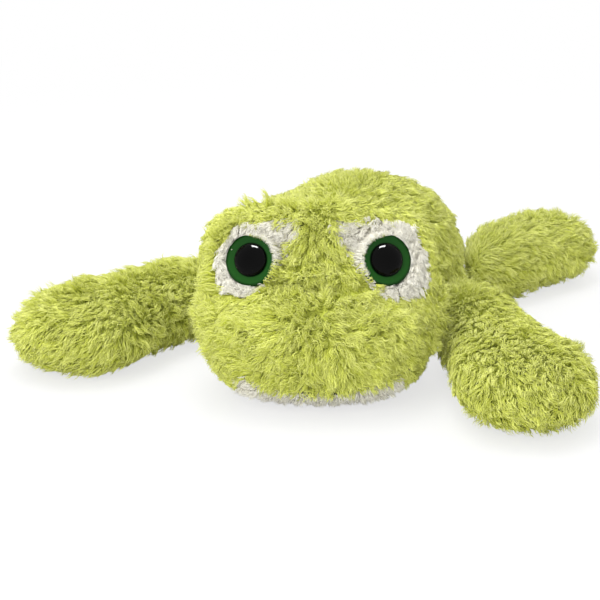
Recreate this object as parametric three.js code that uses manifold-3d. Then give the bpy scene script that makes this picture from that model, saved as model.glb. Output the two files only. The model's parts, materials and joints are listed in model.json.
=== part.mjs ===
// Long-pile plush frog that lies on its belly, in millimetres, +Z up.
// The face looks along -Y, and the trunk trails behind it, turned towards +X.
// Every stuffed form is a cloth cover sewn from panels round a polyester filling.
// The origin is under the middle of the toy, on the surface that it lies on.
// Left and right are those of a viewer who faces the toy.
import * as THREE from "three";
import { mergeVertices } from "three/addons/utils/BufferGeometryUtils.js";
import Module from "manifold-3d";

const wasm = await Module();
wasm.setup();

const left = -1;
const right = 1;

// Cloth, seams and fits
const coverThickness = 6;
const seamGap = 0.3;
const fillingGap = 0.3;
const restCut = 0.5;
const limbSeamHeight = 11;
const trunkSeamHeight = 21;

// Round front end of the trunk and of each limb, which its seam cuts away
const hiddenReach = 20;
const hiddenRound = 8;

// Trunk: its length runs from the neck seam to the rump, and it turns away from the head
const trunkLength = 114;
const trunkTurn = 17;
const neckX = 9;
const neckY = 76;
const neckWidth = 84;
const neckHeight = 60;
const humpWidth = 98;
const humpHeight = 75;
const humpFromNeck = 38;
const rumpWidth = 66;
const rumpHeight = 46;
const rumpFromNeck = 96;
const rumpRound = 38;
const neckPlugWidth = 66;
const neckPlugHeight = 46;
const trunkWaist = 0.33;
const trunkSquareness = 2.3;

// Head, measured from the front of the muzzle to the back of the skull
const headLength = 84;
const headFrontY = -9;
const muzzleWidth = 95;
const muzzleHeight = 54;
const muzzleAt = 16;
const cheekWidth = 103;
const browHeight = 85;
const browAt = 36;
const napeWidth = 78;
const napeHeight = 62;
const napeAt = 68;
const muzzleRound = 22;
const napeRound = 24;
const headWaist = 0.4;
const headSquareness = 3.6;
const jawSquareness = 2.5;

// Head seams
const mouthHeight = 11;
const mouthCornerRise = 8;
const mouthCornerOut = 40;
const mouthLiningThickness = 1.2;
const mouthLiningInset = 1.5;
const mouthLiningReach = 44;
const browSeamFromFront = 37;
const browSeamLean = 22;
const browPlaneLean = 32;
const browPlaneHeight = 63;

// Cream eye patches, in the leaning plane of the brow: across from the middle and up
const patchInnerTop = 5;
const patchInner = 12.5;
const patchInnerSweep = 16;
const patchOuter = 43;
const patchTopOuter = 36;
const patchTop = 17;
const patchShoulder = 8;
const patchBottom = 13;
const patchCornerRound = 6;
const patchReachIn = 16;

// Two-piece safety eyes
const eyeSpread = 27.6;
const eyeHeight = 63;
const eyeTurnOut = 17;
const eyeTurnUp = 24;
const eyeFromFront = 23.8;
const irisDiameter = 22;
const irisThickness = 2.6;
const irisRim = 1.2;
const irisRound = 1.6;
const pupilDiameter = 13.6;
const pupilRim = 0.5;
const pupilRise = 3.6;
const shankDiameter = 4;
const shankPastWasher = 3;
const washerDiameter = 14;
const washerThickness = 1.4;
const clampedCloth = 2.8;
const eyeSeatDepth = 2.4;
const eyeFit = 0.3;

// Pellet pouch that lies on the belly inside the filling
const pouchLength = 66;
const pouchWidth = 50;
const pouchHeight = 17;
const pouchFromNeck = 16;
const pouchWaist = 0.42;
const pouchSquareness = 2.2;

// Limbs, measured from the sewn root to the tip of the paddle
const frontLimbLength = 124;
const hindLimbLength = 91;
const limbRootWidth = 27;
const limbRootHeight = 31;
const upperLimbWidth = 43;
const upperLimbHeight = 37;
const upperLimbAt = 34;
const wristWidth = 51;
const wristHeight = 35;
const wristAt = 56;
const paddleWidth = 60;
const paddleHeight = 37;
const paddleAt = 86;
const paddleRound = 26;
const limbWaist = 0.42;
const limbSquareness = 2.3;

// Joints: limits in degrees, and where each limb's root is caught in the trunk's side seam
const shoulderFromNeck = 24;
const hipFromNeck = 73;
const limbLift = 36;
const liftBesideCheek = 22;
const limbDrop = 30;
const wedgeStep = 14;
const slopeStep = 1;
const nodUp = 18;
const nodDown = 10;

// How each limb lies: heading of its root from +X, turn along its length, both in degrees
const frontPose = { fromNeck: shoulderFromNeck, length: frontLimbLength };
const hindPose = { fromNeck: hipFromNeck, length: hindLimbLength };
const limbPoses = {
  front_left: { ...frontPose, side: left, heading: 184, bend: 69, lift: limbLift },
  front_right: { ...frontPose, side: right, heading: -68, bend: -18, lift: liftBesideCheek },
  hind_left: { ...hindPose, side: left, heading: 92, bend: -8, lift: limbLift },
  hind_right: { ...hindPose, side: right, heading: 49, bend: -4, lift: limbLift },
};

// Facets
const headSides = 28;
const headRings = 10;
const headInnerSides = 16;
const headInnerRings = 8;
const trunkSides = 20;
const trunkRings = 7;
const trunkInnerSides = 10;
const trunkInnerRings = 5;
const limbSides = 14;
const limbRings = 7;
const limbInnerSides = 10;
const limbInnerRings = 5;
const pouchSides = 10;
const pouchRings = 3;
const capRings = 3;
const plugSides = 24;
const plugRings = 8;
const eyeSides = 24;
const irisRoundSteps = 3;
const pupilDomeSteps = 6;
const patchCurveSteps = 5;
const mouthCurveSteps = 12;

// Colours of the cloth, stuffing and plastic
const lime = { color: 0xc4cd5a, roughness: 0.95, metalness: 0 };
const cream = { color: 0xe0dcc8, roughness: 0.95, metalness: 0 };
const stuffing = { color: 0xf4f4f0, roughness: 0.9, metalness: 0 };
const pouchCloth = { color: 0xb9b4a8, roughness: 0.9, metalness: 0 };
const blackCloth = { color: 0x141414, roughness: 0.85, metalness: 0 };
const greenPlastic = { color: 0x1c6a2c, roughness: 0.2, metalness: 0 };
const blackPlastic = { color: 0x0a0a0c, roughness: 0.1, metalness: 0 };
const whitePlastic = { color: 0xe8e8e2, roughness: 0.5, metalness: 0 };

const toRadians = THREE.MathUtils.degToRad;

// A closed geometry as a solid that can be joined and cut.
function solidOf(geometry) {
  const bare = geometry.clone();
  bare.deleteAttribute("normal");
  bare.deleteAttribute("uv");
  const merged = mergeVertices(bare);
  return new wasm.Manifold(new wasm.Mesh({
    numProp: 3,
    vertProperties: new Float32Array(merged.attributes.position.array),
    triVerts: new Uint32Array(merged.index.array),
  }));
}

// A named mesh made from a solid, with the finish of its cloth or plastic.
function meshOf(name, solid, finish) {
  const cut = solid.getMesh();
  const geometry = new THREE.BufferGeometry();
  geometry.setAttribute("position", new THREE.BufferAttribute(cut.vertProperties, 3));
  geometry.setIndex(new THREE.BufferAttribute(cut.triVerts, 1));
  geometry.computeVertexNormals();
  const mesh = new THREE.Mesh(geometry, new THREE.MeshStandardMaterial(finish));
  mesh.name = name;
  return mesh;
}

// Size at a place along a form: smooth between its stations. A bulging form curves away
// from its fullest station, and the others are level at each station.
function sizeAt(form, at, size) {
  const after = form.stations.find((station) => station.at >= at) ?? form.stations.at(-1);
  const before = form.stations.findLast((station) => station.at <= at) ?? form.stations[0];
  if (after === before) return after[size];
  const share = (at - before.at) / (after.at - before.at);
  const rising = after[size] > before[size];
  const bulged = rising ? 1 - (1 - share) ** 2 : share ** 2;
  const eased = form.bulges ? bulged : THREE.MathUtils.smoothstep(share, 0, 1);
  return THREE.MathUtils.lerp(before[size], after[size], eased);
}

// Point of a spine that starts at a place and a heading and turns evenly by its bend.
function spinePoint(spine, at) {
  const start = toRadians(spine.heading);
  const halfTurn = toRadians(spine.bend) * (at / spine.length) / 2;
  const reach = halfTurn === 0 ? at : at * Math.sin(halfTurn) / halfTurn;
  return {
    x: spine.x + reach * Math.cos(start + halfTurn),
    y: spine.y + reach * Math.sin(start + halfTurn),
    heading: start + halfTurn * 2,
  };
}

// Places of the rings along a form, crowded into its two round ends.
function ringPlaces(form, inset, rings) {
  const bodyEnd = form.spine.length - form.backRound;
  const capAngles = Array.from({ length: capRings }, (_, i) => (Math.PI / 2) * ((i + 1) / capRings));
  const front = capAngles.map((angle) => ({
    at: form.frontRound - (form.frontRound - inset) * Math.cos(angle),
    scale: Math.sin(angle),
  }));
  const middle = Array.from({ length: rings - 1 }, (_, i) => ({
    at: THREE.MathUtils.lerp(form.frontRound, bodyEnd, (i + 1) / rings),
    scale: 1,
  }));
  const back = capAngles.toReversed().map((angle) => ({
    at: bodyEnd + (form.backRound - inset) * Math.cos(angle),
    scale: Math.sin(angle),
  }));
  return [...front, ...middle, ...back];
}

// A stuffed form as oval rings along its spine, closed by a point at each end.
// A positive inset gives the inside of its cover.
function stuffedForm(form, inset = 0, sides = form.sides, rings = form.rings) {
  const points = [];
  const triangles = [];
  const bend = (wave, squareness) => Math.sign(wave) * Math.abs(wave) ** (2 / squareness);
  const addPoint = (at, across, up) => {
    const { x, y, heading } = spinePoint(form.spine, at);
    points.push(x + across * Math.sin(heading), y - across * Math.cos(heading), up);
  };
  const places = ringPlaces(form, inset, rings);
  for (const { at, scale } of places) {
    const half = sizeAt(form, at, "width") / 2 - inset;
    const top = sizeAt(form, at, "height");
    const waist = top * form.waist;
    for (let i = 0; i < sides; i++) {
      const angle = (i / sides) * Math.PI * 2;
      const squareness = Math.sin(angle) > 0 ? form.squareness : form.underSquareness;
      const rise = bend(Math.sin(angle), squareness);
      const reach = (rise > 0 ? top - waist : waist + restCut) - inset;
      addPoint(at, bend(Math.cos(angle), squareness) * half * scale, waist + rise * reach * scale);
    }
  }
  for (const at of [inset, form.spine.length - inset]) {
    addPoint(at, 0, sizeAt(form, at, "height") * form.waist);
  }
  const frontPole = places.length * sides;
  const lastRing = frontPole - sides;
  for (let i = 0; i < sides; i++) {
    const next = (i + 1) % sides;
    for (let ring = 0; ring < lastRing; ring += sides) {
      triangles.push(ring + i, ring + next + sides, ring + next);
      triangles.push(ring + i, ring + i + sides, ring + next + sides);
    }
    triangles.push(frontPole, i, next);
    triangles.push(frontPole + 1, lastRing + next, lastRing + i);
  }
  const geometry = new THREE.BufferGeometry();
  geometry.setAttribute("position", new THREE.Float32BufferAttribute(points, 3));
  geometry.setIndex(triangles);
  return geometry;
}

// Inside of a form's cover, with fewer facets than its outside.
function cavity(form, inset) {
  return solidOf(stuffedForm(form, inset, form.innerSides, form.innerRings));
}

// Cutting blocks: all that lies past a plane through a point, on the side it faces.
const blockSize = 600;
function beyond(point, facing, turn = new THREE.Matrix4()) {
  const block = new THREE.BoxGeometry(blockSize, blockSize, blockSize);
  block.translate(0, 0, blockSize / 2);
  const lean = new THREE.Quaternion().setFromUnitVectors(new THREE.Vector3(0, 0, 1), facing);
  block.applyQuaternion(lean).translate(point.x, point.y, point.z);
  return solidOf(block.applyMatrix4(turn));
}
const above = (height) => beyond(new THREE.Vector3(0, 0, height), new THREE.Vector3(0, 0, 1));

// A turn about an axis through a pivot.
function turnAbout(pivot, axis, degrees) {
  return new THREE.Matrix4().makeTranslation(pivot)
    .multiply(new THREE.Matrix4().makeRotationAxis(axis, toRadians(degrees)))
    .multiply(new THREE.Matrix4().makeTranslation(pivot.clone().negate()));
}

// What a sewn seam's flat neighbour sweeps, seen from a form that turns on the seam
// between two limits: the blocks leave the form a wedge whose edge is the seam.
function seamWedge(joint, facing, back) {
  const start = joint.pivot.clone().addScaledVector(facing, -back);
  const [low, high] = joint.limits;
  const steps = Math.ceil((high - low) / wedgeStep);
  return Array.from({ length: steps + 1 }, (_, step) => {
    const degrees = THREE.MathUtils.lerp(low, high, step / steps);
    return beyond(start, facing, turnAbout(joint.pivot, joint.axis, -degrees));
  }).reduce((swept, block) => swept.add(block));
}

const frog = new THREE.Group();
const floor = above(0);

// Trunk form, whose front end lies hidden in front of the neck seam
const trunk = {
  spine: { x: neckX, y: neckY, heading: 90 - trunkTurn, bend: 0, length: hiddenReach + trunkLength },
  frontRound: hiddenRound,
  backRound: rumpRound,
  squareness: trunkSquareness,
  underSquareness: trunkSquareness,
  waist: trunkWaist,
  bulges: true,
  sides: trunkSides,
  rings: trunkRings,
  innerSides: trunkInnerSides,
  innerRings: trunkInnerRings,
  stations: [
    { at: hiddenReach, width: neckWidth, height: neckHeight },
    { at: hiddenReach + humpFromNeck, width: humpWidth, height: humpHeight },
    { at: hiddenReach + rumpFromNeck, width: rumpWidth, height: rumpHeight },
  ],
};
const trunkStart = spinePoint(trunk.spine, -hiddenReach);
trunk.spine.x = trunkStart.x;
trunk.spine.y = trunkStart.y;

// Neck: the head nods on a plug of stuffing that swells out of the trunk's open end
const neckPivot = new THREE.Vector3(neckX, neckY, neckHeight / 2);
const neckJoint = { pivot: neckPivot, axis: new THREE.Vector3(-1, 0, 0), limits: [-nodDown, nodUp] };
const backwards = new THREE.Vector3(0, 1, 0);
const rightwards = new THREE.Vector3(1, 0, 0);
const behindNeck = (depth) => (
  beyond(neckPivot.clone().addScaledVector(backwards, depth), backwards));
function neckPlug(clearance) {
  const plug = new THREE.SphereGeometry(1, plugSides, plugRings);
  plug.rotateZ(Math.PI / 2);
  const girth = neckPlugHeight / 2 + clearance;
  plug.scale(neckPlugWidth / 2 + clearance, girth, girth);
  return solidOf(plug.translate(neckPivot.x, neckPivot.y, neckPivot.z));
}

// Trunk: back cover, belly panel, filling and the pouch of pellets
const trunkHollow = (inset) => cavity(trunk, inset).intersect(behindNeck(inset));
const trunkShell = solidOf(stuffedForm(trunk)).intersect(floor).intersect(behindNeck(0))
  .subtract(trunkHollow(coverThickness)).subtract(neckPlug(seamGap));
const pouchFloor = coverThickness - restCut + fillingGap;
const pouchPlace = spinePoint(trunk.spine, hiddenReach + pouchFromNeck);
const pouch = {
  spine: { x: pouchPlace.x, y: pouchPlace.y, heading: 90 - trunkTurn, bend: 0, length: pouchLength },
  frontRound: pouchHeight,
  backRound: pouchHeight,
  squareness: pouchSquareness,
  underSquareness: pouchSquareness,
  waist: pouchWaist,
  bulges: false,
  sides: pouchSides,
  rings: pouchRings,
  stations: [{ at: 0, width: pouchWidth, height: pouchHeight }],
};
const pouchForm = (inset) => solidOf(stuffedForm(pouch, inset).translate(0, 0, pouchFloor));
const trunkStuffing = trunkHollow(coverThickness + fillingGap);
const trunkFilling = trunkStuffing.add(neckPlug(0)).subtract(pouchForm(-fillingGap));
frog.add(
  meshOf("back_cover", trunkShell.intersect(above(trunkSeamHeight + seamGap)), lime),
  meshOf("belly_panel", trunkShell.subtract(above(trunkSeamHeight)), cream),
  meshOf("torso_filling", trunkFilling, stuffing),
  meshOf("pellet_pouch", pouchForm(0).intersect(trunkStuffing), pouchCloth),
);

// Head form
const head = {
  spine: { x: 0, y: headFrontY, heading: 90, bend: 0, length: headLength },
  frontRound: muzzleRound,
  backRound: napeRound,
  squareness: headSquareness,
  underSquareness: jawSquareness,
  waist: headWaist,
  bulges: false,
  sides: headSides,
  rings: headRings,
  innerSides: headInnerSides,
  innerRings: headInnerRings,
  stations: [
    { at: muzzleAt, width: muzzleWidth, height: muzzleHeight },
    { at: browAt, width: cheekWidth, height: browHeight },
    { at: napeAt, width: napeWidth, height: napeHeight },
  ],
};

// Eyes: each is a pupil button whose shank passes the iris disc and the cloth to a washer
const irisRadius = irisDiameter / 2;
const pupilRadius = pupilDiameter / 2;
const shankRadius = shankDiameter / 2;
const washerRadius = washerDiameter / 2;
const shankHole = shankRadius + eyeFit;
const irisBack = eyeFit - eyeSeatDepth;
const irisFront = irisBack + irisThickness;
const washerFront = -eyeSeatDepth - clampedCloth - eyeFit;
const washerBack = washerFront - washerThickness;
const shankEnd = washerBack - shankPastWasher;
function turned(profile) {
  const points = profile.map(([radius, height]) => new THREE.Vector2(radius, height));
  return new THREE.LatheGeometry(points, eyeSides).rotateX(Math.PI / 2);
}

// Quarter round of a turned profile, from its widest point up and in to a smaller radius.
function quarterRound(widest, narrowest, low, high, steps) {
  return Array.from({ length: steps + 1 }, (_, step) => {
    const angle = (Math.PI / 2) * (step / steps);
    return [
      narrowest + (widest - narrowest) * Math.cos(angle),
      low + (high - low) * Math.sin(angle),
    ];
  });
}

function irisDisc() {
  const rimTop = irisBack + irisRim;
  const shoulder = irisRadius - irisRound;
  return turned([
    [shankHole, irisBack],
    [irisRadius, irisBack],
    ...quarterRound(irisRadius, shoulder, rimTop, irisFront, irisRoundSteps),
    [shankHole, irisFront],
    [shankHole, irisBack],
  ]);
}

function pupilButton() {
  const base = irisFront + eyeFit;
  const rimTop = base + pupilRim;
  return turned([
    [0, shankEnd],
    [shankRadius, shankEnd],
    [shankRadius, base],
    [pupilRadius, base],
    ...quarterRound(pupilRadius, 0, rimTop, base + pupilRise, pupilDomeSteps),
  ]);
}

function lockWasher() {
  return turned([
    [shankHole, washerBack],
    [washerRadius, washerBack],
    [washerRadius, washerFront],
    [shankHole, washerFront],
    [shankHole, washerBack],
  ]);
}

// Room for an eye: a seat for the disc, a hole for the shank and a pocket for the washer.
function eyeRoom() {
  const pocket = washerRadius + eyeFit;
  const seat = irisRadius + eyeFit;
  return turned([
    [0, shankEnd - eyeFit],
    [pocket, shankEnd - eyeFit],
    [pocket, washerFront + eyeFit],
    [shankHole, washerFront + eyeFit],
    [shankHole, -eyeSeatDepth],
    [seat, -eyeSeatDepth],
    [seat, irisRadius],
    [0, irisRadius],
  ]);
}

// Place of an eye: its axis points forward, outward and up from the brow.
function eyePlace(side) {
  const spot = new THREE.Vector3(side * eyeSpread, headFrontY + eyeFromFront, eyeHeight);
  const turn = new THREE.Euler(toRadians(90 - eyeTurnUp), 0, toRadians(side * eyeTurnOut), "ZYX");
  return new THREE.Matrix4().makeRotationFromEuler(turn).setPosition(spot);
}

// Outline of an eye patch, cut through the face square to the brow's leaning plane.
function patchBlock(side, grow) {
  const outline = new THREE.Shape();
  const innerTop = patchInnerTop - grow;
  const inner = patchInner - grow;
  const outer = patchOuter + grow;
  const topOuter = patchTopOuter + grow;
  const bottom = -patchBottom - grow;
  const top = patchTop + grow;
  const round = patchCornerRound;
  outline.moveTo(side * innerTop, top);
  outline.lineTo(side * inner, 0);
  outline.quadraticCurveTo(side * inner, bottom, side * (inner + patchInnerSweep), bottom);
  outline.lineTo(side * (outer - round), bottom);
  outline.quadraticCurveTo(side * outer, bottom, side * outer, bottom + round);
  outline.lineTo(side * outer, 0);
  outline.quadraticCurveTo(side * outer, patchShoulder, side * topOuter, top);
  outline.closePath();
  const block = new THREE.ExtrudeGeometry(outline, {
    depth: patchReachIn + cheekWidth,
    bevelEnabled: false,
    curveSegments: patchCurveSteps,
  });
  block.translate(0, 0, -patchReachIn).rotateX(toRadians(90 - browPlaneLean));
  return solidOf(block.translate(0, headFrontY + eyeFromFront, browPlaneHeight));
}

// All that lies above the mouth, a seam that rises in a curve from its middle to its corners.
function aboveMouth(gap) {
  const lip = new THREE.Shape();
  lip.moveTo(-cheekWidth, blockSize);
  for (let step = 0; step <= mouthCurveSteps; step += 1) {
    const across = cheekWidth * (2 * step / mouthCurveSteps - 1);
    lip.lineTo(across, mouthHeight + gap + mouthCornerRise * (across / mouthCornerOut) ** 2);
  }
  lip.lineTo(cheekWidth, blockSize);
  lip.closePath();
  const block = new THREE.ExtrudeGeometry(lip, { depth: blockSize, bevelEnabled: false });
  return solidOf(block.translate(0, 0, -blockSize / 2).rotateX(toRadians(90)));
}

// Head: its covers are cut from one shell along the brow, mouth, middle and patch seams
const bothEyes = [left, right]
  .map((side) => solidOf(eyeRoom().applyMatrix4(eyePlace(side))))
  .reduce((one, other) => one.add(other));
const plugRoom = neckPlug(seamGap);
const napeCut = (inset) => seamWedge(neckJoint, backwards, seamGap + inset);
const headHollow = (inset) => cavity(head, inset).subtract(napeCut(inset));
const headShell = solidOf(stuffedForm(head)).intersect(floor).subtract(napeCut(0))
  .subtract(headHollow(coverThickness)).subtract(plugRoom).subtract(bothEyes);
const browSeam = new THREE.Vector3(0, headFrontY + browSeamFromFront, browHeight);
const browFacing = backwards.clone().applyAxisAngle(rightwards, toRadians(browSeamLean));
const gapStart = browSeam.clone().addScaledVector(browFacing, -seamGap);
const upperHead = headShell.intersect(aboveMouth(mouthLiningThickness + 2 * seamGap));
const face = upperHead.subtract(beyond(gapStart, browFacing));
frog.add(
  meshOf("crown_cover", upperHead.intersect(beyond(browSeam, browFacing)), lime),
  meshOf("chin_panel", headShell.subtract(aboveMouth(0)), cream),
);

for (const [word, side] of Object.entries({ left, right })) {
  const outward = new THREE.Vector3(side, 0, 0);
  const half = beyond(outward.clone().multiplyScalar(seamGap / 2), outward);
  const muzzle = face.intersect(half).subtract(patchBlock(side, seamGap));
  const patch = face.intersect(patchBlock(side, 0));
  const seated = (geometry) => solidOf(geometry.applyMatrix4(eyePlace(side)));
  frog.add(
    meshOf(`muzzle_cover_${word}`, muzzle, lime),
    meshOf(`eye_patch_${word}`, patch, cream),
    meshOf(`iris_disc_${word}`, seated(irisDisc()), greenPlastic),
    meshOf(`pupil_button_${word}`, seated(pupilButton()), blackPlastic),
    meshOf(`lock_washer_${word}`, seated(lockWasher()), whitePlastic),
  );
}

// Mouth lining: a folded black strip whose edge shows between the lips
const liningEnd = beyond(new THREE.Vector3(0, headFrontY + mouthLiningReach, 0), backwards);
const lining = solidOf(stuffedForm(head, mouthLiningInset)).subtract(headHollow(coverThickness))
  .intersect(aboveMouth(seamGap)).subtract(aboveMouth(seamGap + mouthLiningThickness))
  .subtract(liningEnd);
const headFilling = headHollow(coverThickness + fillingGap).subtract(bothEyes).subtract(plugRoom);
frog.add(
  meshOf("mouth_lining", lining, blackCloth),
  meshOf("head_filling", headFilling, stuffing),
);

// Widest reach of the trunk to its side, round rump included.
function flankAt(at) {
  const pastBody = Math.max(0, at - (trunk.spine.length - rumpRound)) / rumpRound;
  return sizeAt(trunk, at, "width") / 2 * Math.sqrt(1 - pastBody ** 2);
}

// A limb's form and its joint: its root is pinched into the trunk's side seam.
function limbOn(pose) {
  const at = hiddenReach + pose.fromNeck;
  const place = spinePoint(trunk.spine, at);
  const sideways = new THREE.Vector3(Math.sin(place.heading), -Math.cos(place.heading), 0);
  const forward = new THREE.Vector3(Math.cos(place.heading), Math.sin(place.heading), 0);
  const slope = (flankAt(at + slopeStep) - flankAt(at)) / slopeStep;
  const outward = sideways.clone().multiplyScalar(pose.side).addScaledVector(forward, -slope);
  const root = new THREE.Vector3(place.x, place.y, sizeAt(trunk, at, "height") * trunk.waist)
    .addScaledVector(sideways, pose.side * flankAt(at));
  const heading = toRadians(pose.heading);
  const limb = {
    spine: {
      x: root.x - hiddenReach * Math.cos(heading),
      y: root.y - hiddenReach * Math.sin(heading),
      heading: pose.heading,
      bend: pose.bend,
      length: hiddenReach + pose.length,
    },
    frontRound: hiddenRound,
    backRound: paddleRound,
    squareness: limbSquareness,
    underSquareness: limbSquareness,
    waist: limbWaist,
    bulges: false,
    sides: limbSides,
    rings: limbRings,
    innerSides: limbInnerSides,
    innerRings: limbInnerRings,
    stations: [
      { at: hiddenReach, width: limbRootWidth, height: limbRootHeight },
      { at: hiddenReach + upperLimbAt, width: upperLimbWidth, height: upperLimbHeight },
      { at: hiddenReach + wristAt, width: wristWidth, height: wristHeight },
      { at: hiddenReach + paddleAt, width: paddleWidth, height: paddleHeight },
    ],
  };
  const joint = {
    pivot: root,
    axis: new THREE.Vector3(Math.sin(heading), -Math.cos(heading), 0),
    limits: [-limbDrop, pose.lift],
  };
  return { limb, joint, inward: outward.normalize().negate() };
}

const joints = { neck: neckJoint };
for (const [name, pose] of Object.entries(limbPoses)) {
  const { limb, joint, inward } = limbOn(pose);
  const rooted = (inset) => cavity(limb, inset).subtract(seamWedge(joint, inward, seamGap + inset));
  const shell = solidOf(stuffedForm(limb)).intersect(floor)
    .subtract(seamWedge(joint, inward, seamGap)).subtract(rooted(coverThickness));
  frog.add(
    meshOf(`${name}_cover`, shell.intersect(above(limbSeamHeight + seamGap)), lime),
    meshOf(`${name}_sole`, shell.subtract(above(limbSeamHeight)), lime),
    meshOf(`${name}_filling`, rooted(coverThickness + fillingGap), stuffing),
  );
  joints[`${name}_root`] = joint;
}

// The origin moves to the middle of the toy's outline on the surface that it lies on
const box = new THREE.Box3().setFromObject(frog, true);
const middle = box.getCenter(new THREE.Vector3()).setZ(box.min.z);
for (const mesh of frog.children) mesh.geometry.translate(-middle.x, -middle.y, -middle.z);
for (const joint of Object.values(joints)) joint.pivot.sub(middle);
frog.userData = { joints };

export default frog;
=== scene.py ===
import json
import math
import bpy
import numpy as np
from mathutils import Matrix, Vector
from mathutils.bvhtree import BVHTree
from mathutils.kdtree import KDTree


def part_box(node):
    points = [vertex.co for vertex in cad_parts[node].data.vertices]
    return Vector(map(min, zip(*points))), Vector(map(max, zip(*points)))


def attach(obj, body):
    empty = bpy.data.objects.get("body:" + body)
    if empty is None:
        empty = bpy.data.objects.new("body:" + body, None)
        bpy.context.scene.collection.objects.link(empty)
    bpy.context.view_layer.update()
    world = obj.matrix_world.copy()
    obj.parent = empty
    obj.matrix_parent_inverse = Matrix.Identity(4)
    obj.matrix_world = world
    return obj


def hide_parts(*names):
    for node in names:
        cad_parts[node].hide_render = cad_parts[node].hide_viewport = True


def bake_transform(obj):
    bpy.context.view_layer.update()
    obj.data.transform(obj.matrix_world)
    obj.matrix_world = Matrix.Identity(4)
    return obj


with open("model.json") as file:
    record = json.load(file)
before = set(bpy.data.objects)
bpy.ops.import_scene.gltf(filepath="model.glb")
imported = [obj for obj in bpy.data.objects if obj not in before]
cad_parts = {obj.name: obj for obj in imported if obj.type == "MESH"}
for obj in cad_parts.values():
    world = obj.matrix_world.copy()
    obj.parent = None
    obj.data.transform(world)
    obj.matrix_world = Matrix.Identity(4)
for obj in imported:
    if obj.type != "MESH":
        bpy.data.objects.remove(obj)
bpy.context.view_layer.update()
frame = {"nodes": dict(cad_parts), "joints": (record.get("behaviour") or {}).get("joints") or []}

# Studio: white paper that fades into a white room, softboxes above, in front and behind, and a
# lamp that shows only in the eyes. The camera looks at the face from 20 degrees above the floor,
# 620 mm away.
mm = 0.001
scene = bpy.context.scene
scene.view_settings.view_transform = "Standard"
joint_places = {joint["name"]: Vector(joint["pos_m"]) for joint in frame["joints"]}
neck = joint_places["neck_nod"]

# The middle of the face's front, to the left of the neck's seam, before it and above it
face = neck + Vector((-9, -71, 10)) * mm


class Wire:
    """An output socket in a shader tree that adds, multiplies and mixes as a number does."""

    def __init__(self, tree, socket=None):
        self.tree = tree
        self.socket = socket

    def node(self, kind, settings={}, inputs={}, output=0):
        """Adds a node: its settings first, then the values or links of its sockets."""
        added = self.tree.nodes.new(kind)
        for name, value in settings.items():
            setattr(added, name, value)
        for name, value in inputs.items():
            if isinstance(value, Wire):
                self.tree.links.new(value.socket, added.inputs[name])
            else:
                added.inputs[name].default_value = value
        return Wire(self.tree, added.outputs[output])

    def math(self, operation, first, second):
        return self.node("ShaderNodeMath", {"operation": operation}, {0: first, 1: second})

    def __add__(self, other):
        return self.math("ADD", self, other)

    def __sub__(self, other):
        return self.math("SUBTRACT", self, other)

    def __mul__(self, other):
        return self.math("MULTIPLY", self, other)

    def __pow__(self, other):
        return self.math("POWER", self, other)

    def mixed(self, low, high):
        """Colour between low and high, by this wire from 0 to 1."""
        settings = {"data_type": "RGBA", "clamp_factor": True}
        return self.node("ShaderNodeMix", settings, {0: self, 6: low, 7: high}, 2)

    def smooth_step(self, start, end, low=0.0, high=1.0):
        """A smooth step from low to high, as this wire goes from start to end."""
        values = {"Value": self, "From Min": start, "From Max": end, "To Min": low, "To Max": high}
        return self.node("ShaderNodeMapRange", {"interpolation_type": "SMOOTHSTEP"}, values)


def finish_for(name, paint, roughness, **constants):
    """Material whose base colour is painted by a function of the tree's first wire."""
    material = bpy.data.materials.new(name)
    material.use_nodes = True
    tree = material.node_tree
    shader = tree.nodes["Principled BSDF"]
    shader.inputs["Roughness"].default_value = roughness
    for socket, value in constants.items():
        shader.inputs[socket.replace("_", " ")].default_value = value
    colour = paint(Wire(tree))
    tree.links.new(colour.socket, shader.inputs["Base Color"])
    return material


def placed(name, mesh, material):
    """A new object in the scene that shows a mesh."""
    mesh.materials.append(material)
    made = bpy.data.objects.new(name, mesh)
    scene.collection.objects.link(made)
    return made


def object_place(start):
    return start.node("ShaderNodeTexCoord", {}, {}, "Object")


def floor_paint(start):
    speckle = start.node("ShaderNodeTexNoise", {}, {"Scale": 40.0, "Detail": 3.0})
    return speckle.mixed((0.84, 0.84, 0.84, 1), (0.88, 0.88, 0.88, 1))


def seen_directly(tree):
    """1 for rays that show the background to the camera, by itself, in a mirror or in glass."""
    path = Wire(tree)
    shown = [
        path.node("ShaderNodeLightPath", {}, {}, f"Is {ray} Ray")
        for ray in ("Camera", "Glossy", "Transmission")
    ]
    return path.math("MAXIMUM", path.math("MAXIMUM", shown[0], shown[1]), shown[2])


floor_half = 4.0
floor_mesh = bpy.data.meshes.new("floor")
corners = [(x * floor_half, y * floor_half, 0) for x, y in ((-1, -1), (1, -1), (1, 1), (-1, 1))]
floor_mesh.from_pydata(corners, [], [(0, 1, 2, 3)])
paper = finish_for("floor_paper", floor_paint, 0.9)
floor = placed("floor", floor_mesh, paper)

# The paper's own shade shows near the toy and turns into plain white further off
paper_tree = paper.node_tree
white_near_toy = 0.70
fade_start, fade_end = 0.22, 0.75
lit = Wire(paper_tree, paper_tree.nodes["Principled BSDF"].outputs[0])
white = lit.node("ShaderNodeEmission", {}, {"Color": (1, 1, 1, 1), "Strength": 1.0})
from_middle = lit.node(
    "ShaderNodeVectorMath", {"operation": "LENGTH"}, {0: object_place(lit)}, "Value")
whiteness = from_middle.smooth_step(fade_start, fade_end, white_near_toy, 1.0)
share = seen_directly(paper_tree) * whiteness
blended = lit.node("ShaderNodeMixShader", {}, {0: share, 1: lit, 2: white})
paper_tree.links.new(blended.socket, paper_tree.nodes["Material Output"].inputs["Surface"])

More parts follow.
